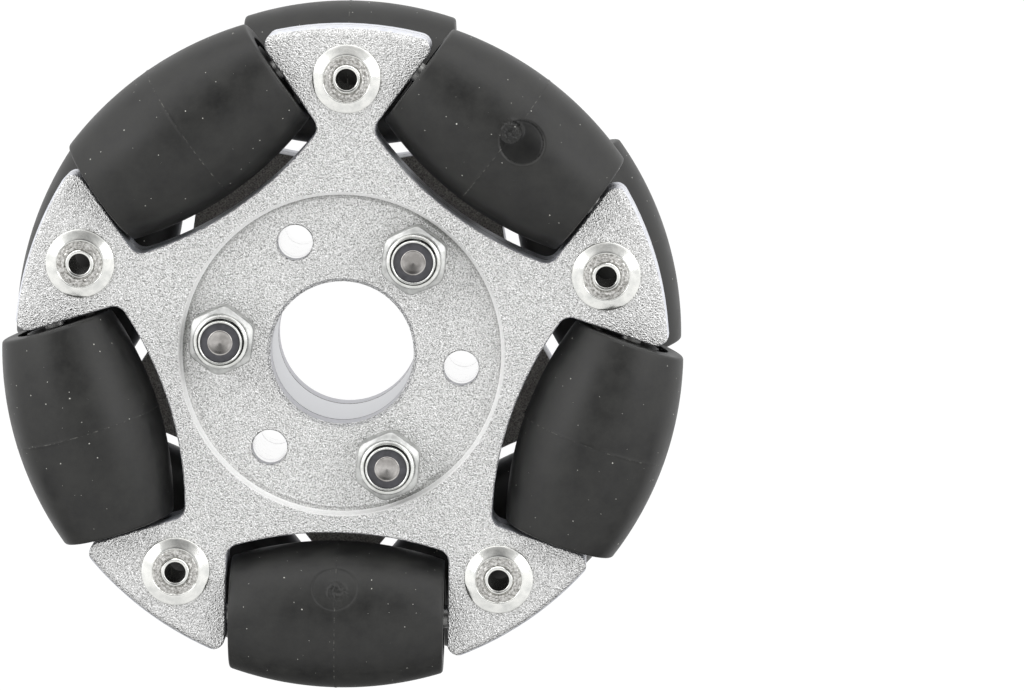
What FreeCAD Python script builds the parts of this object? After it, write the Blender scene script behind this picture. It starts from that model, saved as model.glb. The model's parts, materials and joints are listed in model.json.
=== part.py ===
import FreeCAD, Part
import math
import os

# Double-row omni wheel, in millimetres, lying flat on its rear row of rollers.
# +Z is the wheel axis and +Y is the twelve o'clock lobe of the front row.
# The origin is on the axis, at the height where the rear rollers touch the table.
# Each row is two star shells, clamped face to face on the pins of five barrel rollers.
# The rear row is turned by half a lobe step, so that its rollers fill the front row's gaps.

# Overall size of the wheel and its two rows
wheel_dia = 60.0
roller_dia = 13.0            # barrel at its middle
row_pitch = 13.0             # between the mid-planes of the two rows
roller_count = 5             # in each row
front_lobe_angle = 90.0      # degrees, the first lobe of the front row
rear_row_twist = 0.8         # degrees past the middle of a lobe step: the bolts' play

# Roller: a rubber barrel moulded on a hard core that turns on a steel pin
roller_length = 18.9
roller_end_gap = 0.35        # between a roller's end and the lobe beside it
roller_edge_radius = 0.5
end_recess_dia = 7.0         # shallow round recess in each rubber end
end_recess_depth = 0.45
core_dia = 5.4
core_end_gap = 0.1           # the core's end lies this far inside the rubber's end
core_groove_depth = 0.5      # ring grooves that lock the rubber on the core
core_groove_width = 1.6
core_groove_count = 3
core_groove_pitch = 5.0
pin_dia = 2.0
pin_running_gap = 0.05       # radial, between pin and core
pin_grip = 3.0               # length of pin held in each lobe
pin_pocket_end_gap = 0.2
pin_end_chamfer = 0.2

# Star shells
lobe_tip_gap = 1.25          # the lobes' tips lie this far inside the wheel's circle
shell_thickness = 2.75       # at the lobes, from the row's mid-plane to the face
hub_disc_thickness = 1.5     # in the sunk round middle
hub_recess_room = 3.65       # from the bolt circle out to the edge of the sunk middle
hub_recess_slope = 0.12      # how much smaller in radius the floor is
recess_foot_radius = 0.7     # the hollow corner where the recess's wall meets its floor
recess_edge_break = 0.12
window_barrel_gap = 1.2      # between a roller and the curved inner wall of its window
window_corner_radius = 1.2
lobe_corner_radius = 1.1
tip_edge_radius = 0.65       # where a lobe's face rolls over its tip
window_edge_radius = 0.15
seam_edge_break = 0.12       # small bevel along the joint line of two shells

# Hub
bore_dia = 12.6
bore_edge_break = 0.3
bolt_circle_dia = 21.1
hub_hole_count = 6
first_hole_angle = 54.0
hub_hole_dia = 3.1
hole_edge_break = 0.1
spacer_side_gap = 0.1        # radial, between the spacer and the recess floor's edge

# Hollow rivets, one through each lobe
rivet_tip_distance = 4.55    # from a lobe's tip in to the rivet's centre
rivet_shank_dia = 3.0
rivet_bore_dia = 1.9
rivet_flange_dia = 6.0
rivet_flange_edge = 0.15
rivet_cone_height = 0.52     # the conical flange at its inner edge
rivet_ring_dia = 3.95        # where the cone meets the rolled ring
rivet_ring_sink = 0.08
rivet_lip_dia = 2.45
rivet_lip_height = 0.78
rivet_roll_dia = 4.2         # the end rolled over on the inner side of each row
rivet_roll_height = 0.5

# Through bolts with self-locking nuts
bolt_count = 3
bolt_dia = 2.95
bolt_length = 20.0
bolt_end_chamfer = 0.42
bolt_head_dia = 5.5
bolt_head_height = 3.0
bolt_head_edge = 0.3
socket_flats = 2.5
socket_depth = 1.3
nut_flats = 5.5
nut_height = 4.0
nut_turn = 26.0              # degrees from the line to the wheel's axis to a corner
nut_hex_height = 2.6         # up to the foot of the round crown
nut_foot_chamfer = 0.25
nut_crown_dia = 4.7
nut_crown_height = 3.3
nut_crown_edge = 0.2
nut_collar_dia = 3.9         # the thin collar turned in over the insert
nut_collar_edge = 0.12
nut_opening_dia = 3.44
insert_dia = 3.6
insert_height = 1.1
insert_top_gap = 0.2         # from the nut's top down to the insert's face

# How far a cutting tool runs past the face that it leaves
cut_past = 0.5
same = 1e-6                  # lengths closer than this are the same

# Places and sizes that follow from the values above
wheel_radius = wheel_dia / 2
roller_radius = roller_dia / 2
roller_axis_radius = wheel_radius - roller_radius
lobe_radius = wheel_radius - lobe_tip_gap
rivet_circle_radius = lobe_radius - rivet_tip_distance
lobe_step = 360.0 / roller_count
rear_lobe_angle = front_lobe_angle + lobe_step / 2 + rear_row_twist
rear_plane = roller_radius
front_plane = rear_plane + row_pitch
rear_hub_face = rear_plane - hub_disc_thickness
front_hub_face = front_plane + hub_disc_thickness
hole_circle_radius = bolt_circle_dia / 2
hole_step = 360.0 / hub_hole_count
bolt_step = 360.0 / bolt_count
window_half_width = roller_length / 2 + roller_end_gap
window_arc_radius = wheel_radius + window_barrel_gap
window_arc_centre = 2 * roller_axis_radius
hub_recess_radius = hole_circle_radius + hub_recess_room
hub_floor_radius = hub_recess_radius - hub_recess_slope
spacer_edge_break = recess_foot_radius      # so that the spacer clears the hollow corner
ORIGIN = FreeCAD.Vector(0, 0, 0)
UP = FreeCAD.Vector(0, 0, 1)


def point(x, y, z=0.0):
    return FreeCAD.Vector(x, y, z)


def turned(shape, degrees):
    """A copy of the shape, turned about the wheel axis."""
    copy = shape.copy()
    copy.rotate(ORIGIN, UP, degrees)
    return copy


def moved(shape, x=0.0, y=0.0, z=0.0):
    copy = shape.copy()
    copy.translate(point(x, y, z))
    return copy


def around(degrees, radius):
    """The point at this angle and radius from the wheel axis."""
    angle = math.radians(degrees)
    return point(radius * math.cos(angle), radius * math.sin(angle))


def round_bar(radius, low, high, x=0.0, y=0.0):
    return Part.makeCylinder(radius, high - low, point(x, y, low), UP)


def revolved(edges):
    """A solid of revolution about Z from edges in the XZ plane that close on themselves."""
    face = Part.Face(Part.Wire(edges))
    return face.revolve(ORIGIN, UP, 360)


def lines_through(corners):
    """Straight edges joining (radius, height) corners in turn."""
    spots = [point(radius, 0, height) for radius, height in corners]
    return [Part.makeLine(a, b) for a, b in zip(spots, spots[1:])]


def turned_profile(corners):
    """A solid of revolution from (radius, height) corners, closed back to the first."""
    return revolved(lines_through(corners + [corners[0]]))


def hexagon_corner(across_flats):
    """Distance from a hexagon's middle to its corners."""
    return across_flats / 2 / math.cos(math.pi / 6)


def hexagon(across_flats, low, high):
    corners = [around(60.0 * k, hexagon_corner(across_flats)) for k in range(7)]
    prism = Part.Face(Part.makePolygon(corners)).extrude(point(0, 0, high - low))
    return moved(prism, z=low)


def upright_edges(solid, chosen):
    """The solid's straight edges along Z whose radius from the axis is chosen."""
    found = []
    for edge in solid.Edges:
        low = edge.Vertexes[0].Point
        high = edge.Vertexes[-1].Point
        level = math.hypot(high.x - low.x, high.y - low.y) < same
        if level and abs(high.z - low.z) > same and chosen(math.hypot(low.x, low.y)):
            found.append(edge)
    return found


def rim_edges(solid, height):
    """The outline edges that lie wholly at one height."""
    found = []
    for edge in solid.Edges:
        box = edge.BoundBox
        if abs(box.ZMin - height) < same and abs(box.ZMax - height) < same:
            found.append(edge)
    return found


def edge_breaker(radius, depth, face):
    """A cone that bevels the rim of a hole where it meets a face looking along +Z."""
    reach = depth + cut_past
    return Part.makeCone(radius, radius + reach, reach, point(0, 0, face - depth), UP)


def window_cutter():
    """One roller window of the star, opening outwards along +X.

    Its two sides are straight and stand clear of the roller's ends.  Its inner wall
    is an arc that follows the near side of the barrel at an even distance.
    """
    apex = window_arc_centre - window_arc_radius
    corner = window_arc_centre - math.sqrt(window_arc_radius ** 2 - window_half_width ** 2)
    beyond = wheel_radius + roller_radius
    arc = Part.Arc(point(corner, -window_half_width), point(apex, 0),
                   point(corner, window_half_width)).toShape()
    outline = [
        arc,
        Part.makeLine(point(corner, window_half_width), point(beyond, window_half_width)),
        Part.makeLine(point(beyond, window_half_width), point(beyond, -window_half_width)),
        Part.makeLine(point(beyond, -window_half_width), point(corner, -window_half_width)),
    ]
    prism = Part.Face(Part.Wire(outline)).extrude(point(0, 0, shell_thickness))
    inner = upright_edges(prism, lambda radius: radius < roller_axis_radius)
    return prism.makeFillet(window_corner_radius, inner)


def hub_recess():
    """The sunk round middle of a shell's face, with a sloping wall and an eased edge."""
    face = shell_thickness
    floor = hub_disc_thickness
    edge = hub_recess_radius
    cutter = turned_profile([
        (0.0, floor),
        (hub_floor_radius, floor),
        (edge, face - recess_edge_break),
        (edge + recess_edge_break, face),
        (edge + recess_edge_break, face + cut_past),
        (0.0, face + cut_past),
    ])
    foot_edges = [e for e in rim_edges(cutter, floor) if e.Length > math.pi * hub_floor_radius]
    return cutter.makeFillet(recess_foot_radius, foot_edges)


def star_shell():
    """One shell with its joint face on z = 0, its outer face up and a lobe on +X.

    The star is cut from a round disc whose rim is rolled over at the face, so the lobes'
    tips are well rounded while the windows keep crisp edges.
    """
    blank = round_bar(lobe_radius, 0.0, shell_thickness)
    disc = blank.makeFillet(tip_edge_radius, rim_edges(blank, shell_thickness))
    cutter = window_cutter()
    windows = [turned(cutter, lobe_step * (k + 0.5)) for k in range(roller_count)]
    star = blank.cut(windows)
    tips = upright_edges(star, lambda radius: radius > roller_axis_radius)
    star = star.makeFillet(lobe_corner_radius, tips)
    star = star.makeFillet(window_edge_radius, rim_edges(star, shell_thickness))
    star = star.makeChamfer(seam_edge_break, rim_edges(star, 0.0)).common(disc)

    holes = [hub_recess(), round_bar(bore_dia / 2, 0.0, shell_thickness)]
    holes.append(edge_breaker(bore_dia / 2, bore_edge_break, hub_disc_thickness))
    rivet = round_bar(rivet_shank_dia / 2, 0.0, shell_thickness, rivet_circle_radius)
    pin_half = window_half_width + pin_grip + pin_pocket_end_gap
    pin = Part.makeCylinder(pin_dia / 2, 2 * pin_half, point(roller_axis_radius, -pin_half, 0),
                            point(0, 1, 0))
    for k in range(roller_count):
        holes.append(turned(rivet, lobe_step * k))
        holes.append(turned(pin, lobe_step * (k + 0.5)))
    return star.cut(holes)


def with_hub_holes(shell, first):
    """The shell after its bolt holes are drilled, the first at this angle from its lobe."""
    drill = round_bar(hub_hole_dia / 2, 0.0, hub_disc_thickness)
    bevel = edge_breaker(hub_hole_dia / 2, hole_edge_break, hub_disc_thickness)
    drills = []
    for k in range(hub_hole_count):
        place = around(first + hole_step * k, hole_circle_radius)
        drills.append(moved(drill, place.x, place.y))
        drills.append(moved(bevel, place.x, place.y))
    return shell.cut(drills)


def facing_down(shape):
    """A copy turned over about the X axis, which keeps the lobe on +X."""
    copy = shape.copy()
    copy.rotate(ORIGIN, point(1, 0, 0), 180)
    return copy


def placed_shell(blank, lobe_angle, plane, up):
    """A shell drilled and set on a row's mid-plane, with its face up or down."""
    if up:
        shell = with_hub_holes(blank, first_hole_angle - lobe_angle)
    else:
        shell = facing_down(with_hub_holes(blank, lobe_angle - first_hole_angle))
    return moved(turned(shell, lobe_angle), z=plane)


def hub_spacer():
    """The drilled block that holds the rows apart, seated in both recesses."""
    low = rear_plane + hub_disc_thickness
    high = front_plane - hub_disc_thickness
    radius = hub_floor_radius - spacer_side_gap
    block = round_bar(radius, low, high)
    rims = rim_edges(block, low) + rim_edges(block, high)
    block = block.makeChamfer(spacer_edge_break, rims)
    holes = [round_bar(bore_dia / 2, low, high)]
    for k in range(hub_hole_count):
        place = around(first_hole_angle + hole_step * k, hole_circle_radius)
        holes.append(round_bar(hub_hole_dia / 2, low, high, place.x, place.y))
    return block.cut(holes)


def core_outline():
    """Corners of the core's outside, from its low end to its high end, grooves included."""
    half = roller_length / 2 - core_end_gap
    outer = core_dia / 2
    root = outer - core_groove_depth
    corners = [(outer, -half)]
    first = -core_groove_pitch * (core_groove_count - 1) / 2
    for k in range(core_groove_count):
        middle = first + core_groove_pitch * k
        low = middle - core_groove_width / 2
        high = middle + core_groove_width / 2
        corners += [(outer, low), (root, low), (root, high), (outer, high)]
    return corners + [(outer, half)]


def roller_core():
    """The hard core of a roller, along Z and centred on z = 0."""
    half = roller_length / 2 - core_end_gap
    bore = pin_dia / 2 + pin_running_gap
    return turned_profile(core_outline() + [(bore, half), (bore, -half)])


def roller_tread():
    """The rubber barrel, along Z: its side is the wheel's own circle, so the row rolls true."""
    half = roller_length / 2
    floor = half - end_recess_depth
    rim = math.sqrt(wheel_radius ** 2 - half ** 2) - roller_axis_radius
    recess = end_recess_dia / 2
    side = Part.Arc(point(rim, 0, -half), point(roller_radius, 0, 0), point(rim, 0, half)).toShape()
    inside = [(radius, height) for radius, height in core_outline() if abs(height) < floor]
    outer = core_dia / 2
    inner_wall = [(rim, -half), (recess, -half), (recess, -floor), (outer, -floor)]
    inner_wall += inside + [(outer, floor), (recess, floor), (recess, half), (rim, half)]
    barrel = revolved([side] + lines_through(inner_wall))
    ends = rim_edges(barrel, -half) + rim_edges(barrel, half)
    outer_rims = [e for e in ends if e.BoundBox.XMax > (rim + recess) / 2]
    return barrel.makeFillet(roller_edge_radius, outer_rims)


def roller_pin():
    """The steel pin of a roller, along Z, gripped by the lobes at both ends."""
    half = window_half_width + pin_grip
    bar = round_bar(pin_dia / 2, -half, half)
    return bar.makeChamfer(pin_end_chamfer, rim_edges(bar, -half) + rim_edges(bar, half))


def on_row(shape, degrees, plane):
    """A copy of a roller piece, laid along the tangent at this angle of a row."""
    copy = shape.copy()
    copy.rotate(ORIGIN, point(1, 0, 0), -90)
    copy.translate(point(roller_axis_radius, 0, plane))
    return turned(copy, degrees)


def hollow_rivet():
    """A rivet with its flange above z = shell_thickness and its rolled end below."""
    face = shell_thickness
    bore = rivet_bore_dia / 2
    ring = rivet_ring_dia / 2
    lip = rivet_lip_dia / 2
    flange = rivet_flange_dia / 2
    roll = rivet_roll_dia / 2
    shank = rivet_shank_dia / 2
    lip_edge = (lip - bore) / 2
    return turned_profile([
        (bore, -face - rivet_roll_height / 2),
        (bore + lip_edge, -face - rivet_roll_height),
        (shank, -face - rivet_roll_height),
        (roll, -face - rivet_roll_height / 2),
        (roll, -face),
        (shank, -face),
        (shank, face),
        (flange, face),
        (flange, face + rivet_flange_edge),
        (ring, face + rivet_cone_height),
        (ring, face + rivet_cone_height - rivet_ring_sink),
        (lip, face + rivet_lip_height - rivet_ring_sink),
        (lip - lip_edge, face + rivet_lip_height),
        (bore, face + rivet_lip_height - rivet_ring_sink),
    ])


def rivet_row(lobe_angle, plane, up):
    """The five rivets of a row, with their flanges on its upper or lower face."""
    rivet = hollow_rivet()
    if not up:
        rivet = facing_down(rivet)
    rivet = moved(rivet, x=rivet_circle_radius, z=plane)
    return [turned(rivet, lobe_angle + lobe_step * k) for k in range(roller_count)]


def through_bolt():
    """A socket head bolt, its head below z = 0 and its end up."""
    head = round_bar(bolt_head_dia / 2, -bolt_head_height, 0.0)
    head = head.makeChamfer(bolt_head_edge, rim_edges(head, -bolt_head_height))
    shank = round_bar(bolt_dia / 2, 0.0, bolt_length)
    shank = shank.makeChamfer(bolt_end_chamfer, rim_edges(shank, bolt_length))
    socket = hexagon(socket_flats, -bolt_head_height, socket_depth - bolt_head_height)
    return head.fuse(shank).cut(socket).removeSplitter()


def lock_nut():
    """A hexagon nut on z = 0, with a round crown and a collar turned in over its insert."""
    corner = hexagon_corner(nut_flats)
    crown = nut_crown_dia / 2
    collar = nut_collar_dia / 2
    opening = nut_opening_dia / 2
    seat = insert_dia / 2
    thread = bolt_dia / 2
    insert_top = nut_height - insert_top_gap
    insert_low = insert_top - insert_height
    corner_drop = (corner - crown) / 2
    envelope = turned_profile([
        (thread, 0.0),
        (corner - nut_foot_chamfer, 0.0),
        (corner, nut_foot_chamfer),
        (corner, nut_hex_height - corner_drop),
        (crown, nut_hex_height),
        (crown, nut_crown_height - nut_crown_edge),
        (crown - nut_crown_edge, nut_crown_height),
        (collar, nut_crown_height),
        (collar, nut_height - nut_collar_edge),
        (collar - nut_collar_edge, nut_height),
        (opening, nut_height),
        (opening, insert_top),
        (seat, insert_top),
        (seat, insert_low),
        (thread, insert_low),
    ])
    nut = envelope.common(hexagon(nut_flats, -cut_past, nut_height + cut_past))
    return turned(nut, nut_turn)


def lock_insert():
    """The ring inside the nut's collar that grips the bolt."""
    top = nut_height - insert_top_gap
    ring = round_bar(insert_dia / 2, top - insert_height, top)
    return ring.cut(round_bar(bolt_dia / 2, top - insert_height, top))


def at_bolts(shape, height):
    """Copies of a fastener piece at the three bolts."""
    copies = []
    for k in range(bolt_count):
        degrees = first_hole_angle + bolt_step * k
        place = around(degrees, hole_circle_radius)
        copies.append(moved(turned(shape, degrees), place.x, place.y, height))
    return copies


def roller_angles(lobe_angle):
    """Where a row's rollers stand: halfway between its lobes."""
    return [lobe_angle + lobe_step * (k + 0.5) for k in range(roller_count)]


def write(name, shape):
    shape.exportStep("parts/" + name + ".step")


os.makedirs("parts", exist_ok=True)

blank = star_shell()
write("front_outer_shell", placed_shell(blank, front_lobe_angle, front_plane, True))
write("front_inner_shell", placed_shell(blank, front_lobe_angle, front_plane, False))
write("rear_inner_shell", placed_shell(blank, rear_lobe_angle, rear_plane, True))
write("rear_outer_shell", placed_shell(blank, rear_lobe_angle, rear_plane, False))
write("hub_spacer", hub_spacer())
write("front_rivets", Part.makeCompound(rivet_row(front_lobe_angle, front_plane, True)))
write("rear_rivets", Part.makeCompound(rivet_row(rear_lobe_angle, rear_plane, False)))
write("through_bolts", Part.makeCompound(at_bolts(through_bolt(), rear_hub_face)))
write("lock_nuts", Part.makeCompound(at_bolts(lock_nut(), front_hub_face)))
write("lock_nut_inserts", Part.makeCompound(at_bolts(lock_insert(), front_hub_face)))

rows = [("front", front_lobe_angle, front_plane), ("rear", rear_lobe_angle, rear_plane)]
pieces = [("tread", roller_tread()), ("core", roller_core()), ("axle", roller_pin())]
for row, lobe_angle, plane in rows:
    for number, degrees in enumerate(roller_angles(lobe_angle), start=1):
        for piece, shape in pieces:
            write(f"{row}_roller_{number}_{piece}", on_row(shape, degrees, plane))
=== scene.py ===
import json
import math

import bpy
import numpy as np
from mathutils import Matrix, Vector


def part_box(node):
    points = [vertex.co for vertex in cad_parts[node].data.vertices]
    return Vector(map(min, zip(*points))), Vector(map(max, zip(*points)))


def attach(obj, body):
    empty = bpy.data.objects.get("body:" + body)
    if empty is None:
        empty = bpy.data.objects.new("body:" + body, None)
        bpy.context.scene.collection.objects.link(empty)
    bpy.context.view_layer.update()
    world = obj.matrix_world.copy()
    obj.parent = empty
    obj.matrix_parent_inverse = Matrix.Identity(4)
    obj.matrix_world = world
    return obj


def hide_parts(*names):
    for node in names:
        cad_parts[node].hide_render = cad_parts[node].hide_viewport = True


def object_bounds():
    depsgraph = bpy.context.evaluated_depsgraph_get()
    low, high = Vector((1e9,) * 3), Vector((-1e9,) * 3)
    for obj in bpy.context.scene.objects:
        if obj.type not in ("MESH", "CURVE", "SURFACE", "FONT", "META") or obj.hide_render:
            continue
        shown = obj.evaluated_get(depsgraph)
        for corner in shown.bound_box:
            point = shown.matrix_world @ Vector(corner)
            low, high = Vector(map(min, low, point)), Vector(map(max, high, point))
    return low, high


# Looks of a double-row omni wheel that lies flat on its rear row of rollers.
# Sizes are in millimetres, as the workshop gives them; meshes are put down in metres.
# +Z is the wheel axis and +Y is the twelve o'clock lobe of the front row.

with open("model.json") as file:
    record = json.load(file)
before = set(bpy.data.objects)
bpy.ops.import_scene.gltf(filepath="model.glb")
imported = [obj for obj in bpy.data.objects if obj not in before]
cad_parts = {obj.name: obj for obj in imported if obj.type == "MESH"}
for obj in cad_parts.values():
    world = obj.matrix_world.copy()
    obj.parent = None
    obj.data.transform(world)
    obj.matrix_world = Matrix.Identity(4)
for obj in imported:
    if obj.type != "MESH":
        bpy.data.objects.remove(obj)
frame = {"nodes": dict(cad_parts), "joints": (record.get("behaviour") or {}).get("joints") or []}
cad_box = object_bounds()

MM = 0.001
TINY = 1e-6
PHOTO_WIDTH = 1024
PHOTO_HEIGHT = 691

LOBE_COUNT = 5
LOBE_STEP = 360 / LOBE_COUNT
FRONT_LOBE_ANGLE = 90.0
REAR_LOBE_ANGLE = 126.8

# Rubber barrels
WHEEL_RADIUS = 30.0
ROLLER_LENGTH = 18.9
TREAD_EDGE_RADIUS = 0.5
END_RECESS_RADIUS = 3.5
END_RECESS_DEPTH = 0.45
TREAD_BORE_RADIUS = 2.7
SMALL_ROUND = 0.1
PARTING_RIDGE_HEIGHT = 0.045
PARTING_RIDGE_WIDTH = 0.09
GATE_WELL_RADIUS = 1.93
GATE_WELL_DEPTH = 0.13
GATE_GROOVE_DEPTH = 0.1
GATE_STUB_RADIUS = 0.95
GATE_STUB_OFFSET = 0.17
GATE_STUB_HEIGHT = 0.22
FINE_STEP = 0.085             # grid spacing across the gate mark
COARSE_STEP = 0.55
PLAIN_WELL_OFFSET = -1.12
# How far each roller happens to be turned, which is the gate mark's place in degrees
# from straight outwards towards the front face, how deep its mark is, and how far along
# the roller from its middle the well lies
GATE_MARKS = {
    "front_roller_5": (79.0, 1.0, PLAIN_WELL_OFFSET),
    "front_roller_3": (120.0, 0.4, -0.1),
}
HIDDEN_GATE_TURN = -145.0     # inwards and down, clear of the table
GATE_TURN_SPREAD = 20.0

RUBBER, WELL_FLOOR, RIDGE_CREST = 0, 1, 2    # the tread's finishes

# Rivets
ROW_THICKNESS = 5.5           # over the two shells of a row
RIVET_CIRCLE_RADIUS = 24.2
RIVET_BORE_RADIUS = 0.93
RIVET_LIP_RADIUS = 1.26
RIVET_INNER_RING_RADIUS = 1.58
RIVET_RING_RADIUS = 1.97
RIVET_FLANGE_RADIUS = 3.02
RIVET_SHANK_RADIUS = 1.5
RIVET_ROLL_RADIUS = 2.1
RIVET_ROLL_HEIGHT = 0.5
RIVET_LIP_HEIGHT = 0.78
RIVET_CONE_HEIGHT = 0.6
RIVET_EDGE_HEIGHT = 0.16
RING_STEPS = 96               # points round a rivet or a lock ring

# Bolts and nuts
HOLE_CIRCLE_RADIUS = 10.55
FIRST_BOLT_ANGLE = 54.0
BOLT_COUNT = 3
THREAD_PITCH = 0.5
THREAD_DEPTH = 0.3
BOLT_RADIUS = 1.475
BOLT_END_RADIUS = 1.04
BOLT_LENGTH = 20.0
HEAD_RADIUS = 2.75
HEAD_HEIGHT = 3.0
SOCKET_FLATS = 2.5
SOCKET_DEPTH = 1.3
KNURL_COUNT = 22
BOLT_STEPS = 3 * KNURL_COUNT  # points round a bolt, three to a ridge of the knurl
KNURL_DEPTH = 0.09
NUT_FLATS = 5.5
NUT_HEIGHT = 4.0
NUT_TURN = 31.0
NUT_STEPS = 144
HEXAGON_POWER = 14            # the lower, the rounder a hexagon's corners
INSERT_TOP = 3.8
INSERT_HEIGHT = 1.1
INSERT_SEAT_RADIUS = 1.8
INSERT_RADIUS = 1.79
INSERT_BORE_RADIUS = 1.49
INSERT_LIP_RADIUS = 1.09
COLLAR_RADIUS = 1.93
CROWN_RADIUS = 2.36
GROOVE_BOTTOM = 2.95          # of the groove between a nut's collar and its crown
# A nut's finishes: the groove's is painted shade, and the hexagon's zinc is painted darker as
# shade
BRIGHT, GROOVE_SHADE, DULLED = 0, 1, 2    # a nut's finishes

# Surfaces
GRIT_MARK = 0.13              # how far across the marks of the blasting grit are
WALL_STEEPNESS = 0.65         # faces whose normal leans up less than this are walls
FOOT_STEEPNESS = 0.97         # the same, in the hollow corner of the sunk hub
HUB_WALL_STEEPNESS = 0.6      # and this parts the hollow corner from the wall above it
# Distances from the wheel axis that part the bore, the holes round it, the sunk hub's
# wall, its eased edge and the outer walls
WALL_LIMITS = (7.0, 13.0, 14.2, 14.4)
SUNK_WALL, SUNK_EDGE = 2, 3   # the numbers of the zones that those limits make

# Studio
TABLE_REACH = 2.5             # from the wheel axis to the table's sides, in metres
TABLE_LEVEL = 1.07            # how bright the table looks
TABLE_FADE = (-55.0, -25.0)   # between these places along Y its reflection fades
WHITE = (1.0, 1.0, 1.0, 1.0)
DARK_WAY = (0.0, 0.42, 0.907)    # the middle of the tent's dark patch
SENSOR_WIDTH = 36.0


def srgb(code):
    """An sRGB hex colour as linear red, green and blue, with full alpha."""
    values = [int(code[k:k + 2], 16) / 255 for k in (1, 3, 5)]
    linear = [v / 12.92 if v <= 0.04045 else ((v + 0.055) / 1.055) ** 2.4 for v in values]
    return (*linear, 1.0)


def feed(tree, node, inputs):
    """Sets a node's sockets to values, or links them to sockets or nodes' first outputs."""
    for key, value in inputs.items():
        if isinstance(value, bpy.types.Node):
            value = value.outputs[0]
        if isinstance(value, bpy.types.NodeSocket):
            tree.links.new(value, node.inputs[key])
        else:
            node.inputs[key].default_value = value


def add(tree, kind, inputs=None, stops=(), **settings):
    """Adds a node.

    Settings are its properties, inputs its sockets' values or links, and stops the places
    and sRGB colours along a colour ramp.
    """
    node = tree.nodes.new(kind)
    for name, value in settings.items():
        setattr(node, name, value)
    feed(tree, node, inputs or {})
    if stops:
        band = node.color_ramp.elements
        while len(band) < len(stops):
            band.new(0.5)
        for element, (spot, code) in zip(band, stops):
            element.position = spot
            element.color = srgb(code)
    return node


def new_material(name):
    """A material with its tree, its shader and the object's own coordinates, in metres."""
    material = bpy.data.materials.new(name)
    material.use_nodes = True
    tree = material.node_tree
    shader = tree.nodes["Principled BSDF"]
    place = add(tree, "ShaderNodeTexCoord").outputs["Object"]
    return material, tree, shader, place


def clouded(name, size_mm, stops, shine, detail=2.0, rough=0.5, relief=None, tilt=None):
    """A material whose colour and relief follow the same clouds of noise.

    The clouds are about size_mm across, and stops are the colours from their hollows to
    their tops.  Shine holds the shader's own values.  Relief is how deep the hollows are,
    in millimetres, and how strongly that shows.  Tilt turns the clouds, in radians.
    """
    material, tree, shader, place = new_material(name)
    if tilt is not None:
        place = add(tree, "ShaderNodeMapping", {"Vector": place, "Rotation": tilt})
    clouds = add(tree, "ShaderNodeTexNoise", {
        "Vector": place, "Scale": 1 / (size_mm * MM), "Detail": detail, "Roughness": rough})
    colour = add(tree, "ShaderNodeValToRGB", {"Fac": clouds}, stops)
    feed(tree, shader, {"Base Color": colour, **shine})
    if relief is not None:
        depth_mm, strength = relief
        hollows = add(tree, "ShaderNodeBump", {
            "Height": clouds, "Distance": depth_mm * MM, "Strength": strength})
        feed(tree, shader, {"Normal": hollows})
    return material


def blasted_aluminium(name, shades, roughness, depth_mm):
    """Stamped plate blasted with grit: matt silver, all small sharp bumps and pits.

    The shades are those of the pits, the ground and the tips.  The grain is turned, so
    that no flat face lies along the noise's own planes.
    """
    shine = {"Metallic": 1.0, "Roughness": roughness}
    return clouded(name, GRIT_MARK, list(zip((0.3, 0.5, 0.7), shades)), shine, detail=1.0,
                   relief=(depth_mm, 1.0), tilt=(0.6, 0.4, 0.0))


def painted_highlight_aluminium(name, dark, light):
    """The sunk hub's wall and edge: blasted grain painted pale white, a painted highlight, so they
    shine alike all round.

    The white isn't metallic to the shader, so it scatters light like chalk from every side.
    """
    return clouded(name, GRIT_MARK, [(0.3, dark), (0.7, light)], {"Roughness": 0.6}, detail=1.0)


def smooth_aluminium(name, dark, light, roughness, metallic=1.0):
    """Cut aluminium without grain, in faint broad clouds from the dark to the light colour.

    A sheared edge is torn as well as cut, so part of it scatters light like chalk, which a
    lower metallic value stands for.
    """
    shine = {"Metallic": metallic, "Roughness": roughness}
    return clouded(name, 0.7, [(0.3, dark), (0.7, light)], shine, relief=(0.01, 0.3))


def turned_aluminium():
    """A lathe-turned wall: satin, cool grey, with fine rings around the wheel axis.

    A ring is a sine of 20 times the height, counted in lengths of 0.9 mm, so the rings are
    0.28 mm apart.  A lathe's are finer, and would not show.
    """
    material, tree, shader, place = new_material("turned_aluminium")
    rings = add(tree, "ShaderNodeTexWave", {
        "Vector": place, "Scale": 1 / (0.9 * MM), "Distortion": 0.6, "Detail": 1.0},
        wave_type="BANDS", bands_direction="Z").outputs["Fac"]
    relief = add(tree, "ShaderNodeBump", {
        "Height": rings, "Distance": 0.01 * MM, "Strength": 0.2})
    feed(tree, shader, {"Base Color": srgb("#d8d9dc"), "Metallic": 1.0, "Roughness": 0.4,
                        "Normal": relief})
    return material


def pressed_aluminium():
    """Rivet flanges of soft pressed aluminium: bright, with faint waves and small dents."""
    shine = {"Metallic": 1.0, "Roughness": 0.13}
    return clouded("pressed_aluminium", 0.9, [(0.3, "#dedfdc"), (0.6, "#f6f6f2")], shine,
                   detail=3.0, relief=(0.03, 0.5))


def rolled_aluminium():
    """The rivets' rolled rings, torn and scuffed by the setting tool."""
    shine = {"Metallic": 1.0, "Roughness": 0.36}
    return clouded("rolled_aluminium", 0.22, [(0.35, "#9a9893"), (0.6, "#e8e7e4")], shine,
                   detail=3.0, rough=0.6, relief=(0.05, 0.7))


def zinc_plated_steel(name, dark, light, roughness):
    """Zinc over steel: silver with a faint warm cast, slightly wavy.

    The nuts are polished on their crowns.  Their hexagon takes a rougher copy painted darker,
    a painted shade for its dimmer reflection.
    """
    shine = {"Metallic": 1.0, "Roughness": roughness}
    return clouded(name, 0.8, [(0.35, dark), (0.65, light)], shine, detail=3.0,
                   relief=(0.015, 0.4))


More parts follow.
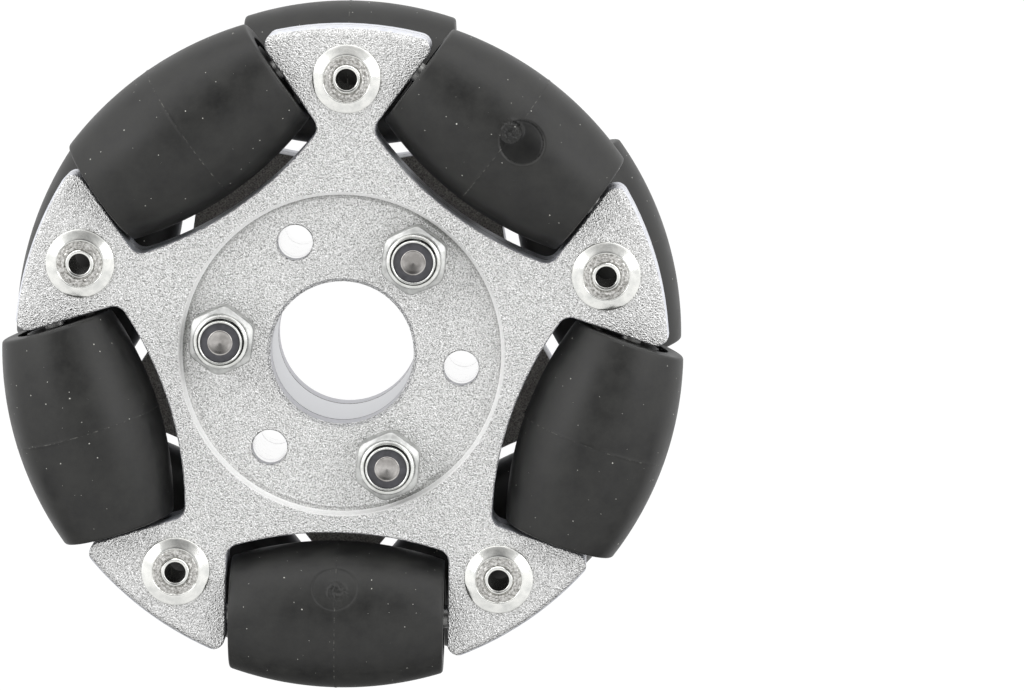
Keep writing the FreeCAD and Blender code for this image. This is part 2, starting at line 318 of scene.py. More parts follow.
def painted_groove_shade():
    """Painted shade in the nuts' grooves: dark grey, with pale breaks in places where the zinc
    shows.
    """
    return clouded("painted_groove_shade", 1.5, [(0.42, "#b5b6b4"), (0.48, "#3b3b3c")],
                   {"Roughness": 0.45}, detail=3.0)


def stainless_steel():
    """The bolts: stainless steel with a warm grey cast, polished by tumbling."""
    shine = {"Metallic": 1.0, "Roughness": 0.2}
    return clouded("stainless_steel", 1.2, [(0.35, "#9b9895"), (0.65, "#c9c6c3")], shine,
                   relief=(0.02, 0.4))


def moulded_nylon():
    """The lock ring: plain, half matt nylon; its dark grey is partly its own, partly painted
    shade.
    """
    return clouded("moulded_nylon", 0.6, [(0.3, "#37373b"), (0.7, "#4a4a4f")],
                   {"Roughness": 0.5, "IOR": 1.53})


def moulded_rubber():
    """Tyre rubber out of a polished mould: near black, a soft sheen, handling marks and dust.

    Dust: space is split into cells 0.65 mm across, about half of them hold a speck at
    their middle, and a speck is seen where the skin passes through it.  Each has its own
    strength.
    """
    material, tree, shader, place = new_material("moulded_rubber")
    smears = add(tree, "ShaderNodeTexNoise", {
        "Vector": place, "Scale": 1 / (2.5 * MM), "Detail": 7.0, "Roughness": 0.7})
    body = add(tree, "ShaderNodeValToRGB", {"Fac": smears}, [(0.35, "#121211"), (0.65, "#262624")])
    cells = add(tree, "ShaderNodeTexVoronoi", {"Vector": place, "Scale": 1 / (0.65 * MM)})
    strength = add(tree, "ShaderNodeMapRange", {
        "Value": cells.outputs["Color"], "From Min": 0.4, "From Max": 1.0})
    reach = add(tree, "ShaderNodeMath", {0: strength, 1: 0.12}, operation="MULTIPLY")
    near = add(tree, "ShaderNodeMath", {0: cells.outputs["Distance"], 1: reach},
               operation="LESS_THAN")
    speck = add(tree, "ShaderNodeMath", {0: strength, 1: near}, operation="MULTIPLY")
    colour = add(tree, "ShaderNodeMix", {"Factor": speck, "A": body, "B": srgb("#d6d6ce")},
                 data_type="RGBA")
    sheen = add(tree, "ShaderNodeMapRange", {
        "Value": smears, "From Min": 0.35, "From Max": 0.65, "To Min": 0.4, "To Max": 0.52})
    feed(tree, shader, {"Base Color": colour.outputs["Result"], "Roughness": sheen, "IOR": 1.5})
    return material


def polished_rubber():
    """The floor of a gate mark: smoother than the rubber round it, and painted darker, a painted
    reflection of the dark above it.
    """
    return clouded("polished_rubber", 0.9, [(0.3, "#0d0d0d"), (0.7, "#181817")],
                   {"Roughness": 0.3, "IOR": 1.35}, detail=3.0)


def scuffed_rubber():
    """The crest of the parting ridge: worn pale in short stretches."""
    return clouded("scuffed_rubber", 0.6, [(0.5, "#1b1b1a"), (0.68, "#62625d")],
                   {"Roughness": 0.5}, detail=4.0, rough=0.7)


def moulded_core_plastic():
    """The rollers' cores: grey-black plastic, matt."""
    return clouded("moulded_core_plastic", 1.0, [(0.3, "#353534"), (0.7, "#434342")],
                   {"Roughness": 0.5})


def ground_steel():
    """Centreless-ground pins: grey, satin."""
    return clouded("ground_steel", 0.5, [(0.3, "#a2a2a0"), (0.7, "#bdbdbb")],
                   {"Metallic": 1.0, "Roughness": 0.3})


def rounded(corners, steps=5):
    """An outline from (radius, height, rounding) corners, each with an arc of that rounding.

    The arc starts and ends where a circle of the rounding touches the corner's two sides,
    and it is a quadratic curve through those points with the corner as its handle.
    """
    spots = np.array([c[:2] for c in corners], float)
    before = np.roll(spots, 1, axis=0) - spots
    after = np.roll(spots, -1, axis=0) - spots
    outline = []
    for spot, back, ahead, (_, _, size) in zip(spots, before, after, corners):
        one = back / np.linalg.norm(back)
        two = ahead / np.linalg.norm(ahead)
        half = math.acos(np.clip(one @ two, -1, 1)) / 2
        reach = size / math.tan(half)
        reach = min(reach, 0.45 * np.linalg.norm(back), 0.45 * np.linalg.norm(ahead))
        if reach < TINY:
            outline.append(spot[None])
            continue
        t = np.linspace(0, 1, steps)[:, None]
        start = spot + one * reach
        end = spot + two * reach
        outline.append((1 - t) ** 2 * start + 2 * t * (1 - t) * spot + t ** 2 * end)
    return np.concatenate(outline)


def divided(outline, longest):
    """The closed outline with its long stretches split into pieces no longer than this."""
    pieces = []
    for start, end in zip(outline, np.roll(outline, -1, axis=0)):
        count = max(1, math.ceil(np.linalg.norm(end - start) / longest))
        t = np.arange(count)[:, None] / count
        pieces.append(start + (end - start) * t)
    return np.concatenate(pieces)


def closed_skin(points):
    """Points and faces of a skin over an (around, along) grid that wraps round both ways."""
    around, along = points.shape[:2]
    index = np.arange(around * along).reshape(around, along)
    right = np.roll(index, -1, axis=0)
    quads = np.stack([index, right, np.roll(right, -1, axis=1), np.roll(index, -1, axis=1)], -1)
    return points.reshape(-1, 3), quads.reshape(-1, 4).tolist()


def capped_skin(points):
    """Points and faces of a skin over an (around, along) grid that ends in a pole each way.

    The grid's first and last columns lie on the axis, and each becomes a single point.
    """
    around, along = points.shape[:2]
    belt = points[:, 1:-1]
    index = np.arange(around * (along - 2)).reshape(around, along - 2)
    right = np.roll(index, -1, axis=0)
    quads = np.stack([index[:, :-1], right[:, :-1], right[:, 1:], index[:, 1:]], -1)
    first = around * (along - 2)
    low = np.stack([np.full(around, first), right[:, 0], index[:, 0]], -1)
    high = np.stack([np.full(around, first + 1), index[:, -1], right[:, -1]], -1)
    spots = np.concatenate([belt.reshape(-1, 3), points[:1, 0], points[:1, -1]])
    return spots, quads.reshape(-1, 4).tolist() + low.tolist() + high.tolist()


def make_mesh(name, skins, materials, finish=None):
    """One smooth mesh from several skins, in millimetres.

    Finish gives the material's number for each face, in order, where there are several.
    """
    spots, faces, start = [], [], 0
    for points, corners in skins:
        spots.append(points)
        faces += [[k + start for k in corner] for corner in corners]
        start += len(points)
    mesh = bpy.data.meshes.new(name)
    mesh.from_pydata((np.concatenate(spots) * MM).tolist(), [], faces)
    for material in materials:
        mesh.materials.append(material)
    if finish is not None:
        mesh.polygons.foreach_set("material_index", np.asarray(finish, np.int32))
    mesh.shade_smooth()
    return mesh


def turned_points(outline, angles, radius=None):
    """The outline's (radius, height) points carried round Z at these angles, in radians."""
    radius = outline[None, :, 0] if radius is None else radius
    height = np.broadcast_to(outline[None, :, 1], (len(angles), len(outline)))
    cosine = np.cos(angles)[:, None]
    sine = np.sin(angles)[:, None]
    return np.stack([radius * cosine, radius * sine, height], axis=-1)


def full_turn(count):
    """This many angles, evenly spaced round a circle, in radians."""
    return np.arange(count) * 2 * math.pi / count


def set_down(points, origin, x_axis, y_axis, z_axis):
    """Points in a piece's own axes, taken to the wheel's frame."""
    axes = np.stack([np.array(x_axis), np.array(y_axis), np.array(z_axis)])
    return points @ axes + np.array(origin)


def new_piece(mesh, body, nodes):
    """An object for the mesh that rides on a body and stands for CAD nodes."""
    piece = bpy.data.objects.new(mesh.name, mesh)
    bpy.context.scene.collection.objects.link(piece)
    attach(piece, body)
    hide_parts(*nodes)
    return piece


def spaced(low, high, middle, reach):
    """Places from low to high, fine within reach of the middle and coarse elsewhere."""
    fine = np.arange(-reach, reach + FINE_STEP / 2, FINE_STEP) + middle
    left = np.linspace(low, fine[0], max(2, int((fine[0] - low) / COARSE_STEP)), endpoint=False)
    right = np.linspace(fine[-1], high, max(2, int((high - fine[-1]) / COARSE_STEP)) + 1)[1:]
    return np.concatenate([left, fine, right])


def gate_relief(along, across, well_offset, rng):
    """Height of the skin near the gate mark, in millimetres, over the plain barrel.

    A shallow round well, with a sharp groove at its rim, and in it the torn stub.  The
    well and the stub are smooth steps: one over one plus e to the distance past the rim.
    The groove is a bell curve of that distance.  The stub's height wavers with a sine of
    the distance from its middle and of the angle round it, and with a random bit.
    """
    out = np.hypot(along - well_offset, across)
    well = -GATE_WELL_DEPTH / (1 + np.exp((out - GATE_WELL_RADIUS) / 0.04))
    groove = -GATE_GROOVE_DEPTH * np.exp(-((out - GATE_WELL_RADIUS) / 0.09) ** 2)
    off = np.hypot(along - GATE_STUB_OFFSET, across - 0.25)
    inside = 1 / (1 + np.exp((off - GATE_STUB_RADIUS) / 0.08))
    ripples = 0.35 * np.sin(off * 11 + 2 * np.arctan2(across, along))
    rough = rng.normal(0, 0.25, along.shape)
    stub = inside * GATE_STUB_HEIGHT * (0.6 + ripples + rough)
    return well + groove + stub


def tread(joint, number, finishes):
    """One rubber barrel with its parting ridge, gate mark and recessed ends.

    The side is the wheel's own circle: radius = sqrt(R^2 - s^2) - axis radius at a
    distance s from the middle.  The height of ridge and gate mark is added to it.
    """
    body = joint["child"]
    rng = np.random.default_rng(number)
    origin = np.array(joint["pos_m"]) / MM
    axis = np.array(joint["axis"])
    axis_radius = math.hypot(origin[0], origin[1])
    outward = np.array([origin[0], origin[1], 0]) / axis_radius
    side_way = np.cross(axis, outward)
    half = ROLLER_LENGTH / 2
    side_end = half - 1.2 * TREAD_EDGE_RADIUS
    reach = GATE_WELL_RADIUS + 0.5
    hidden = HIDDEN_GATE_TURN + rng.uniform(-1, 1) * GATE_TURN_SPREAD
    turn, depth, well_offset = GATE_MARKS.get(body, (hidden, 1.0, PLAIN_WELL_OFFSET))
    along = spaced(-side_end, side_end, well_offset / 2, reach - well_offset / 2)
    side = np.stack([np.sqrt(WHEEL_RADIUS ** 2 - along ** 2) - axis_radius, along], axis=-1)
    rim = math.sqrt(WHEEL_RADIUS ** 2 - half ** 2) - axis_radius
    floor = half - END_RECESS_DEPTH
    ends = rounded([
        (side[-1, 0], side[-1, 1], 0),
        (rim, half, TREAD_EDGE_RADIUS),
        (END_RECESS_RADIUS, half, SMALL_ROUND),
        (END_RECESS_RADIUS, floor, SMALL_ROUND),
        (TREAD_BORE_RADIUS, floor, SMALL_ROUND),
        (TREAD_BORE_RADIUS, -floor, SMALL_ROUND),
        (END_RECESS_RADIUS, -floor, SMALL_ROUND),
        (END_RECESS_RADIUS, -half, SMALL_ROUND),
        (rim, -half, TREAD_EDGE_RADIUS),
        (side[0, 0], side[0, 1], 0),
    ], steps=7)
    outline = np.concatenate([side, ends[1:-1]])
    middle_radius = WHEEL_RADIUS - axis_radius
    girth = 2 * math.pi * middle_radius
    across = spaced(-girth / 2, girth / 2, 0.0, reach)[:-1]
    angles = across / middle_radius
    radius = np.broadcast_to(outline[None, :, 0], (len(angles), len(outline))).copy()
    ridge = PARTING_RIDGE_HEIGHT * np.exp(-(along / PARTING_RIDGE_WIDTH) ** 2)
    wear = 0.55 + 0.45 * np.sin(angles * 3 + rng.uniform(0, 6))[:, None]
    here, there = np.broadcast_arrays(along[None, :], across[:, None])
    relief = depth * gate_relief(here, there, well_offset, rng)
    radius[:, :len(along)] += relief + ridge[None, :] * wear
    points = turned_points(outline, angles - math.radians(turn), radius)
    finish = np.full(radius.shape, RUBBER)
    finish[:, np.searchsorted(along, 0.0) - 1] = RIDGE_CREST
    in_well = np.hypot(here - well_offset, there) < GATE_WELL_RADIUS
    on_stub = np.hypot(here - GATE_STUB_OFFSET, there) < GATE_STUB_RADIUS
    finish[:, :len(along)][on_stub] = RUBBER
    if depth > 0.5:
        finish[:, :len(along)][in_well & ~on_stub] = WELL_FLOOR
    skins = [closed_skin(set_down(points, origin, outward, side_way, axis))]
    mesh = make_mesh(body + "_rubber", skins, finishes, finish.reshape(-1))
    return new_piece(mesh, body, [body + "_tread"])


def rivet_outline():
    """A hollow rivet's section: (radius, height over the plate, rounding)."""
    low = -ROW_THICKNESS
    ring = RIVET_CONE_HEIGHT
    return [
        (RIVET_BORE_RADIUS, low - RIVET_ROLL_HEIGHT, 0.15),
        (RIVET_SHANK_RADIUS, low - RIVET_ROLL_HEIGHT, 0.2),
        (RIVET_ROLL_RADIUS, low - RIVET_ROLL_HEIGHT / 2, 0.2),
        (RIVET_ROLL_RADIUS, low, 0.05),
        (RIVET_SHANK_RADIUS, low, 0.05),
        (RIVET_SHANK_RADIUS, 0.0, 0.05),
        (RIVET_FLANGE_RADIUS, 0.0, 0.05),
        (RIVET_FLANGE_RADIUS, RIVET_EDGE_HEIGHT, 0.12),
        (RIVET_RING_RADIUS + 0.12, ring, 0.2),
        (RIVET_RING_RADIUS, ring - 0.12, 0.05),
        (RIVET_RING_RADIUS - 0.12, ring - 0.02, 0.08),
        (RIVET_INNER_RING_RADIUS + 0.03, ring - 0.04, 0.05),
        (RIVET_INNER_RING_RADIUS, ring + 0.05, 0.06),
        (RIVET_LIP_RADIUS + 0.1, ring + 0.08, 0.05),
        (RIVET_LIP_RADIUS + 0.04, ring - 0.1, 0.04),
        (RIVET_LIP_RADIUS, RIVET_LIP_HEIGHT - 0.12, 0.08),
        (RIVET_LIP_RADIUS - 0.12, RIVET_LIP_HEIGHT, 0.1),
        (RIVET_BORE_RADIUS, RIVET_LIP_HEIGHT - 0.06, 0.06),
    ]


def rivet_section():
    """The section's points, close enough together to take dents."""
    return divided(rounded(rivet_outline()), 0.16)


def rivet(angle, face, up, rng):
    """One hollow rivet through a lobe, pressed a little unevenly.

    Its height over the plate swells and sinks with three waves round the axis, and the
    rolled ring is torn: each of its points stands a random bit higher or lower.
    """
    outline = rivet_section()
    angles = full_turn(RING_STEPS)
    points = turned_points(outline, angles)
    above = np.clip(outline[None, :, 1] / RIVET_CONE_HEIGHT, 0, 1)
    waver = sum(size * np.sin(waves * angles + rng.uniform(0, 6))
                for waves, size in ((2, 0.02), (3, 0.012), (5, 0.008)))
    torn = rolled_band(outline)[None, :] * rng.normal(0, 0.02, points.shape[:2])
    points[..., 2] += waver[:, None] * above + torn
    turn = math.radians(angle)
    outward = np.array([math.cos(turn), math.sin(turn), 0])
    axis = np.array([0, 0, 1.0 if up else -1.0])
    origin = outward * RIVET_CIRCLE_RADIUS + np.array([0, 0, face])
    return closed_skin(set_down(points, origin, outward, np.cross(axis, outward), axis))


def rolled_band(outline):
    """Which of the section's points lie on the rolled ring of the flange."""
    between = (outline[:, 0] > RIVET_LIP_RADIUS + 0.05) & (outline[:, 0] < RIVET_RING_RADIUS)
    return between & (outline[:, 1] > RIVET_EDGE_HEIGHT)


def rivets(row, lobe_angle, flange_metal, ring_metal):
    """The five rivets of a row, as one piece."""
    up = row == "front"
    low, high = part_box(row + "_outer_shell")
    face = (high.z if up else low.z) / MM
    rng = np.random.default_rng(11 if up else 12)
    skins = [rivet(lobe_angle + LOBE_STEP * k, face, up, rng) for k in range(LOBE_COUNT)]
    finish = np.tile(rolled_band(rivet_section()), len(skins) * RING_STEPS)
    mesh = make_mesh(row + "_hollow_rivets", skins, [flange_metal, ring_metal], finish)
    return new_piece(mesh, "wheel", [row + "_rivets"])


def hexagon_radius(angles, flats):
    """Distance from the middle to a hexagon's side at each angle, its corners just eased.

    It is half the width over flats, divided by the largest cosine to any flat's middle,
    taken as a high power mean so that the corners come out rounded.
    """
    middles = np.radians(30 + 60 * np.arange(6))
    nearness = np.clip(np.cos(angles[:, None] - middles[None, :]), 0, None)
    return flats / 2 / (nearness ** HEXAGON_POWER).sum(axis=1) ** (1 / HEXAGON_POWER)


def softly_less(one, two, ease):
    """The smaller of two lengths, with the crossing eased over about this length."""
    return -ease * np.logaddexp(-one / ease, -two / ease)


def nut_outline():
    """A lock nut's turned outline: (radius, height, rounding), its hexagon cut apart."""
    corner = NUT_FLATS / 2 / math.cos(math.pi / 6)
    return [
        (BOLT_RADIUS, 0.0, 0.1),
        (corner - 0.3, 0.0, 0.05),
        (corner + 0.05, 0.25, 0.1),
        (corner + 0.05, 2.15, 0.15),
        (CROWN_RADIUS + 0.12, 2.6, 0.15),
        (CROWN_RADIUS + 0.01, 2.72, 0.08),
        (CROWN_RADIUS, 3.22, 0.08),
        (COLLAR_RADIUS + 0.13, 3.38, 0.08),
        (COLLAR_RADIUS + 0.09, GROOVE_BOTTOM, 0.03),
        (COLLAR_RADIUS + 0.01, GROOVE_BOTTOM, 0.03),
        (COLLAR_RADIUS, NUT_HEIGHT - 0.08, 0.08),
        (COLLAR_RADIUS - 0.08, NUT_HEIGHT, 0.06),
        (COLLAR_RADIUS - 0.19, NUT_HEIGHT - 0.05, 0.06),
        (COLLAR_RADIUS - 0.21, INSERT_TOP, 0.02),
        (INSERT_SEAT_RADIUS, INSERT_TOP, 0.02),
        (INSERT_SEAT_RADIUS, INSERT_TOP - INSERT_HEIGHT, 0.02),
        (BOLT_RADIUS, INSERT_TOP - INSERT_HEIGHT, 0.02),
    ]


def bolt_places():
    """Each bolt's angle and its middle in the plane."""
    for k in range(BOLT_COUNT):
        angle = FIRST_BOLT_ANGLE + 360 / BOLT_COUNT * k
        turn = math.radians(angle)
        yield angle, HOLE_CIRCLE_RADIUS * math.cos(turn), HOLE_CIRCLE_RADIUS * math.sin(turn)


def turned_round(points, degrees, x, y, z):
    """Points turned about Z and moved."""
    turn = math.radians(degrees)
    x_axis = (math.cos(turn), math.sin(turn), 0)
    y_axis = (-math.sin(turn), math.cos(turn), 0)
    return set_down(points, (x, y, z), x_axis, y_axis, (0, 0, 1))


def lock_nuts(seat, zinc, groove_shade, dulled):
    """The three hexagon nuts: the turned outline, no wider than the hexagon anywhere.

    All that is inside the crown stays round.  The crown and the collar are bright, the
    groove between them is painted dark as painted shade, and the hexagon's zinc is rougher
    and painted darker, a painted shade too.
    """
    outline = divided(rounded(nut_outline()), 0.12)
    angles = full_turn(NUT_STEPS)
    radius = softly_less(outline[None, :, 0], hexagon_radius(angles, NUT_FLATS)[:, None], 0.03)
    radius = np.where(outline[None, :, 0] < CROWN_RADIUS + 0.05, outline[None, :, 0], radius)
    local = turned_points(outline, angles, radius)
    skins = [closed_skin(turned_round(local, angle + NUT_TURN, x, y, seat))
             for angle, x, y in bolt_places()]
    # The groove between collar and crown gets the painted shade
    grooved = (outline[:, 0] > COLLAR_RADIUS - 0.02) & (outline[:, 0] < COLLAR_RADIUS + 0.13)
    grooved &= (outline[:, 1] > GROOVE_BOTTOM - 0.05) & (outline[:, 1] < 3.3)
    body = outline[:, 0] > CROWN_RADIUS + 0.02
    finish = np.where(grooved, GROOVE_SHADE, np.where(body, DULLED, BRIGHT))
    mesh = make_mesh("hexagon_lock_nuts", skins, [zinc, groove_shade, dulled],
                     np.tile(finish, len(angles) * len(skins)))
    return new_piece(mesh, "wheel", ["lock_nuts"])


def nut_inserts(seat, material):
    """The nylon rings, pressed up a little round the bolts' bevelled ends."""
    foot = INSERT_TOP - INSERT_HEIGHT + 0.02
    outline = divided(rounded([
        (INSERT_BORE_RADIUS, foot, 0.05),
        (INSERT_RADIUS, foot, 0.05),
        (INSERT_RADIUS, INSERT_TOP - 0.03, 0.02),
        (1.71, INSERT_TOP - 0.02, 0.02),
        (1.55, INSERT_TOP + 0.03, 0.1),
        (INSERT_LIP_RADIUS, INSERT_TOP + 0.15, 0.06),
        (INSERT_LIP_RADIUS, INSERT_TOP + 0.03, 0.05),
        (INSERT_BORE_RADIUS, INSERT_TOP - 0.3, 0.05),
    ]), 0.1)
    local = turned_points(outline, full_turn(RING_STEPS))
    skins = [closed_skin(turned_round(local, angle, x, y, seat))
             for angle, x, y in bolt_places()]
    mesh = make_mesh("nylon_lock_rings", skins, [material])
    return new_piece(mesh, "wheel", ["lock_nut_inserts"])


def bolt_points():
    """A threaded bolt with a knurled socket head, its head below z = 0.

    The thread is a helix: the radius dips by a triangle wave of height over pitch less
    the angle's share of a turn.  The knurl is the head's radius, dipping many times
    round.  The socket is the outline's inner part held inside a hexagon.
    """
    angles = full_turn(BOLT_STEPS)
    bottom = -HEAD_HEIGHT
    socket = SOCKET_FLATS / 2
    corners = [
        (0.0, bottom + SOCKET_DEPTH + 0.3, 0.0),
        (socket + 0.2, bottom + SOCKET_DEPTH, 0.05),
        (socket + 0.2, bottom + 0.12, 0.05),
        (socket + 0.36, bottom, 0.05),
        (HEAD_RADIUS - 0.35, bottom, 0.12),
        (HEAD_RADIUS, bottom + 0.35, 0.15),
        (HEAD_RADIUS, -0.05, 0.08),
        (HEAD_RADIUS - 0.1, 0.0, 0.05),
        (BOLT_RADIUS, 0.0, 0.05),
        (BOLT_RADIUS, BOLT_LENGTH - 0.5, 0.1),
        (BOLT_END_RADIUS, BOLT_LENGTH, 0.14),
        (0.75, BOLT_LENGTH - 0.08, 0.3),
        (0.0, BOLT_LENGTH - 0.2, 0.0),
    ]
    outline = divided(rounded(corners), 0.125)
    last = np.flatnonzero(outline[:, 0] < TINY)[-1]
    outline = outline[:last + 1]
    radius = np.broadcast_to(outline[None, :, 0], (len(angles), len(outline))).copy()
    height = outline[None, :, 1]
    phase = (height / THREAD_PITCH - angles[:, None] / (2 * math.pi)) % 1.0
    cut = THREAD_DEPTH * (1 - np.abs(2 * phase - 1))
    threaded = (np.abs(outline[:, 0] - BOLT_RADIUS) < 0.02) & (outline[:, 1] > 1.0)
    radius[:, threaded] -= cut[:, threaded]
    knurled = (outline[:, 0] > HEAD_RADIUS - 0.01) & (outline[:, 1] > bottom + 0.35)
    dips = np.abs(np.sin(angles * KNURL_COUNT / 2))[:, None]
    radius[:, knurled] -= KNURL_DEPTH * dips
    hexed = softly_less(radius, hexagon_radius(angles, SOCKET_FLATS)[:, None], 0.02)
    inner = (outline[:, 0] > 0) & (outline[:, 0] < HEAD_RADIUS / 2)
    inner &= (outline[:, 1] > bottom + 0.1) & (outline[:, 1] < bottom + SOCKET_DEPTH + 0.31)
    radius[:, inner] = hexed[:, inner]
    return turned_points(outline, angles, radius)


def through_bolts(seat, material):
    """The three bolts, heads at the rear, each turned its own way."""
    local = bolt_points()
    rng = np.random.default_rng(5)
    skins = [capped_skin(turned_round(local, rng.uniform(0, 360), x, y, seat))
             for _, x, y in bolt_places()]
    mesh = make_mesh("threaded_bolts", skins, [material])
    return new_piece(mesh, "wheel", ["through_bolts"])


def dress(node, finish):
    """Gives a CAD node one finish all over."""
    materials = frame["nodes"][node].data.materials
    materials.clear()
    materials.append(finish)


def dress_walls(node, finishes):
    """Gives a CAD node one finish on its flat faces and others on its upright walls.

    Which wall finish a face gets depends on its distance from the wheel axis: first the
    bore, then the holes round it, the sunk hub's wall, its eased edge, and beyond that the
    outer walls and the windows.  The last finish is for the hollow corner of the sunk hub.
    """
    mesh = frame["nodes"][node].data
    mesh.materials.clear()
    for finish in finishes:
        mesh.materials.append(finish)
    normals = np.zeros(len(mesh.polygons) * 3)
    centres = np.zeros(len(mesh.polygons) * 3)
    mesh.polygons.foreach_get("normal", normals)
    mesh.polygons.foreach_get("center", centres)
    lean = np.abs(normals[2::3])
    zone = np.digitize(np.hypot(centres[0::3], centres[1::3]) / MM, WALL_LIMITS)
    hub_rim = (zone == SUNK_WALL) | (zone == SUNK_EDGE)
    steepest = np.where(hub_rim, FOOT_STEEPNESS, WALL_STEEPNESS)
    number = np.where(lean < steepest, 1 + zone, 0)
    hollow = (zone == SUNK_WALL) & (lean > HUB_WALL_STEEPNESS) & (lean < FOOT_STEEPNESS)
    number[hollow] = len(finishes) - 1
    mesh.polygons.foreach_set("material_index", number.astype(np.int32))


def white_floor():
    """A pale table under the wheel: white to the eye and in reflections, with a soft shadow.

    Reflections see it fade towards the near edge, where no light stands behind it.
    """
    material = bpy.data.materials.new("white_table")
    material.use_nodes = True
    tree = material.node_tree
    tree.nodes.clear()
    path = add(tree, "ShaderNodeLightPath")
    eye = path.outputs["Is Camera Ray"]
    seen = add(tree, "ShaderNodeMath", {0: eye, 1: path.outputs["Is Glossy Ray"]},
               operation="MAXIMUM")
    share = add(tree, "ShaderNodeMath", {0: seen, 1: 0.93}, operation="MULTIPLY")
    place = add(tree, "ShaderNodeTexCoord").outputs["Object"]
    depth = add(tree, "ShaderNodeSeparateXYZ", {"Vector": place}).outputs["Y"]
    near = add(tree, "ShaderNodeMapRange", {
        "Value": depth, "From Min": TABLE_FADE[0] * MM, "From Max": TABLE_FADE[1] * MM,
        "To Min": 0.12, "To Max": TABLE_LEVEL}, interpolation_type="SMOOTHSTEP")
    level = add(tree, "ShaderNodeMix", {0: eye, 2: near, 3: TABLE_LEVEL})
    lit = add(tree, "ShaderNodeBsdfDiffuse", {"Color": srgb("#f7f7f7")})
    glow = add(tree, "ShaderNodeEmission", {"Color": WHITE, "Strength": level})
    mixed = add(tree, "ShaderNodeMixShader", {0: share, 1: lit, 2: glow})
    add(tree, "ShaderNodeOutputMaterial", {"Surface": mixed})
    height = cad_box[0].z
    mesh = bpy.data.meshes.new("table")
    corners = [(x * TABLE_REACH, y * TABLE_REACH, height)
               for x, y in ((-1, -1), (1, -1), (1, 1), (-1, 1))]
    mesh.from_pydata(corners, [], [(0, 1, 2, 3)])
    mesh.materials.append(material)
    table = bpy.data.objects.new("table", mesh)
    bpy.context.scene.collection.objects.link(table)


def tent_level(tree):
    """How bright the white tent is in each direction.

    It is dark in a patch between the zenith and the +Y side, and brightens with the
    distance from there.  Towards the horizon it gets brighter still, most on the +Y side:
    by the square of one less the direction's Z, times a share that grows with its Y.
    """
    way = add(tree, "ShaderNodeTexCoord").outputs["Generated"]
    parts = add(tree, "ShaderNodeSeparateXYZ", {"Vector": way})
    off = add(tree, "ShaderNodeVectorMath", {0: way, 1: DARK_WAY},
              operation="DISTANCE").outputs["Value"]
    dome = add(tree, "ShaderNodeMapRange", {
        "Value": off, "From Min": 0.1, "From Max": 0.75,
        "To Min": 0.13, "To Max": 1.0}, interpolation_type="SMOOTHSTEP")
    low = add(tree, "ShaderNodeMath", {0: 1.0, 1: parts.outputs["Z"]}, operation="SUBTRACT")
    square = add(tree, "ShaderNodeMath", {0: low, 1: low}, operation="MULTIPLY")
    share = add(tree, "ShaderNodeMath", {0: parts.outputs["Y"], 1: 1.3, 2: 0.6},
                operation="MULTIPLY_ADD")
    gain = add(tree, "ShaderNodeMath", {0: square, 1: share, 2: 1.0}, operation="MULTIPLY_ADD")
    return add(tree, "ShaderNodeMath", {0: dome, 1: gain}, operation="MULTIPLY")


def studio_light():
    """A white tent round the wheel and two soft boxes, at the upper left and upper right."""
    world = bpy.data.worlds.new("studio")
    bpy.context.scene.world = world
    world.use_nodes = True
    tree = world.node_tree
    tree.nodes.clear()
    path = add(tree, "ShaderNodeLightPath")
    tent = add(tree, "ShaderNodeBackground", {
        "Color": WHITE, "Strength": tent_level(tree)})
    white = add(tree, "ShaderNodeBackground", {"Color": WHITE, "Strength": 1.0})
    mixed = add(tree, "ShaderNodeMixShader", {
        0: path.outputs["Is Camera Ray"], 1: tent, 2: white})
    add(tree, "ShaderNodeOutputWorld", {"Surface": mixed})
    for name, side in (("left_light", -1), ("right_light", 1)):
        soft_box(name, (side * 0.52, 0.24, 0.47))


def soft_box(name, place):
    """A square soft box that looks at the wheel."""
    light = bpy.data.lights.new(name, "AREA")
    light.size = 0.3
    light.energy = 0.6
    lamp = bpy.data.objects.new(name, light)
    lamp.location = place
    lamp.rotation_euler = (-Vector(place)).to_track_quat("-Z", "Y").to_euler()
    bpy.context.scene.collection.objects.link(lamp)


def photo_camera():
    """The camera that took the picture: almost straight above, leaning towards the top lobe.

    The wheel's front mid-plane crosses the axis at one pixel of the picture, and the
    camera stands back from there along its own line of sight.
    """
    lean_x, lean_y, roll = 0.01135, 0.12624, 0.02302
    distance = 505.78
    focal_pixels = 5744.3
    axis_pixel = (342.70, 350.70)
    front_plane = 19.5
    back = Vector((lean_x, lean_y, 1)).normalized()
    level = Vector((0, 1, 0)).cross(back).normalized()
    rise = back.cross(level)
    right = level * math.cos(roll) + rise * math.sin(roll)
    up = rise * math.cos(roll) - level * math.sin(roll)
    aside = (axis_pixel[0] - PHOTO_WIDTH / 2) / focal_pixels * distance
    below = (axis_pixel[1] - PHOTO_HEIGHT / 2) / focal_pixels * distance
    place = Vector((0, 0, front_plane)) + back * distance - right * aside + up * below
    data = bpy.data.cameras.new("camera")
    data.sensor_width = SENSOR_WIDTH
    data.lens = SENSOR_WIDTH * focal_pixels / PHOTO_WIDTH
    camera = bpy.data.objects.new("camera", data)
    bpy.context.scene.collection.objects.link(camera)
    turn = Matrix((right, up, back)).transposed().to_4x4()
    camera.matrix_world = Matrix.Translation(place * MM) @ turn
    bpy.context.scene.camera = camera


rubbers = [moulded_rubber(), polished_rubber(), scuffed_rubber()]
flange_metal = pressed_aluminium()
ring_metal = rolled_aluminium()
# The outer shells' faces, blasted hard: they glitter
plate = blasted_aluminium("sand_blasted_aluminium", ("#a2a2a1", "#dcdcdb", "#f8f8f8"), 0.3, 0.15)
# The sunk hub's hollow corner, which the grit strikes aslant: softer, and painted greyer as shade
# in the corner
foot = blasted_aluminium("shade_painted_softly_blasted_aluminium", ("#949493", "#c0c0bf", "#e0e0df"), 0.5, 0.03)
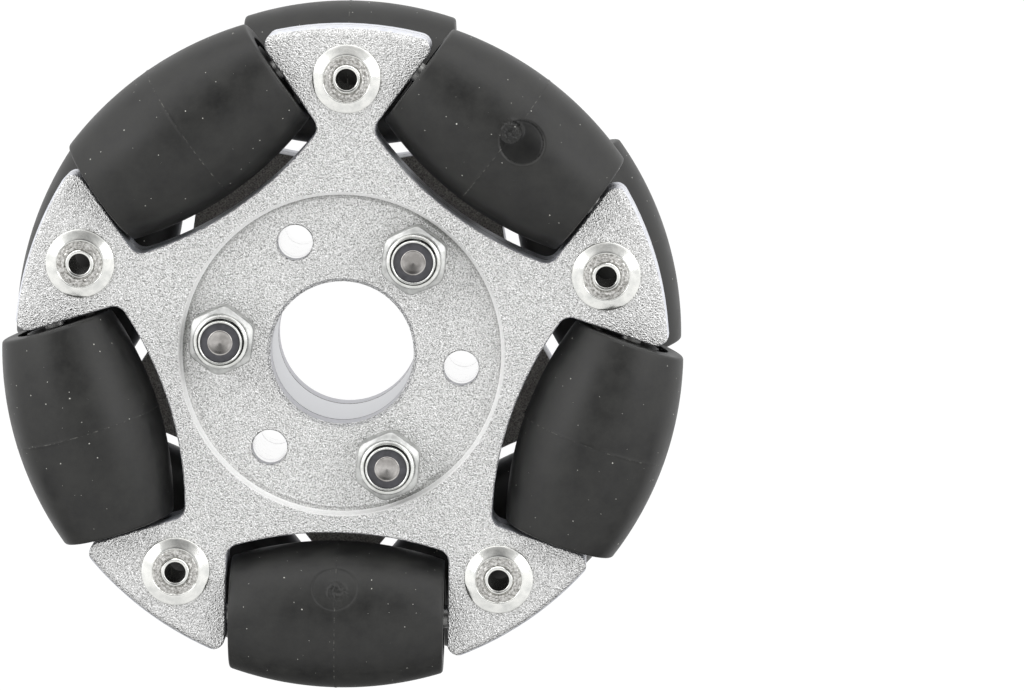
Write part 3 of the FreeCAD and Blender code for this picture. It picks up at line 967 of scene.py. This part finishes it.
# The inner shells' faces: blasted lightly, and painted darker, a painted shade for the shadow
# between the rows
shade_painted_plate = blasted_aluminium("shade_painted_blasted_aluminium", ("#7c7976", "#a09d99", "#c2bfbb"), 0.45, 0.05)
# The sunk hub's wall and its eased edge: thin rings painted white as a painted highlight, the
# edge's a little dimmer
rim_highlight_paint = painted_highlight_aluminium("painted_highlight_aluminium", "#f2f2f1", "#ffffff")
ease = painted_highlight_aluminium("dimmer_painted_highlight_aluminium", "#e4e4e3", "#f6f6f5")
# The lobes' ends and the windows' walls: cool and pale
sheared = smooth_aluminium("sheared_aluminium", "#d8dae2", "#eceef4", 0.42, metallic=0.6)
# The bore's wall, and the holes' walls near the eye: cool and darker
bored = smooth_aluminium("bored_aluminium", "#b6b6bc", "#c2c2c7", 0.42)
# The other holes' walls: bright, so that the white table shows in them
drilled = smooth_aluminium("drilled_aluminium", "#f4f4f4", "#fdfdfd", 0.14)
turned = turned_aluminium()
core = moulded_core_plastic()
steel = ground_steel()

for number, joint in enumerate(frame["joints"]):
    tread(joint, number, rubbers)
    dress(joint["child"] + "_core", core)
    dress(joint["child"] + "_axle", steel)
dress_walls("front_outer_shell", (plate, bored, bored, rim_highlight_paint, ease, sheared, foot))
dress_walls("rear_outer_shell", (plate, bored, drilled, rim_highlight_paint, ease, sheared, foot))
for shell in ("front_inner_shell", "rear_inner_shell"):
    dress_walls(shell, (shade_painted_plate, bored, drilled, rim_highlight_paint, ease, sheared, foot))
dress_walls("hub_spacer", (turned, turned, drilled, turned, turned, turned, turned))
rivets("front", FRONT_LOBE_ANGLE, flange_metal, ring_metal)
rivets("rear", REAR_LOBE_ANGLE, flange_metal, ring_metal)
nut_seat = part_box("lock_nuts")[0].z / MM
head_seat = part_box("through_bolts")[0].z / MM + HEAD_HEIGHT
bright_zinc = zinc_plated_steel("bright_zinc", "#d8d9d5", "#f2f3f0", 0.2)
# The hexagon's zinc: rougher, and painted darker as painted shade
shade_dimmed_zinc = zinc_plated_steel("shade_painted_zinc", "#b6b7b5", "#dadbd9", 0.4)
lock_nuts(nut_seat, bright_zinc, painted_groove_shade(), shade_dimmed_zinc)
nut_inserts(nut_seat, moulded_nylon())
through_bolts(head_seat, stainless_steel())

white_floor()
studio_light()
photo_camera()
bpy.context.scene.view_settings.view_transform = "Standard"
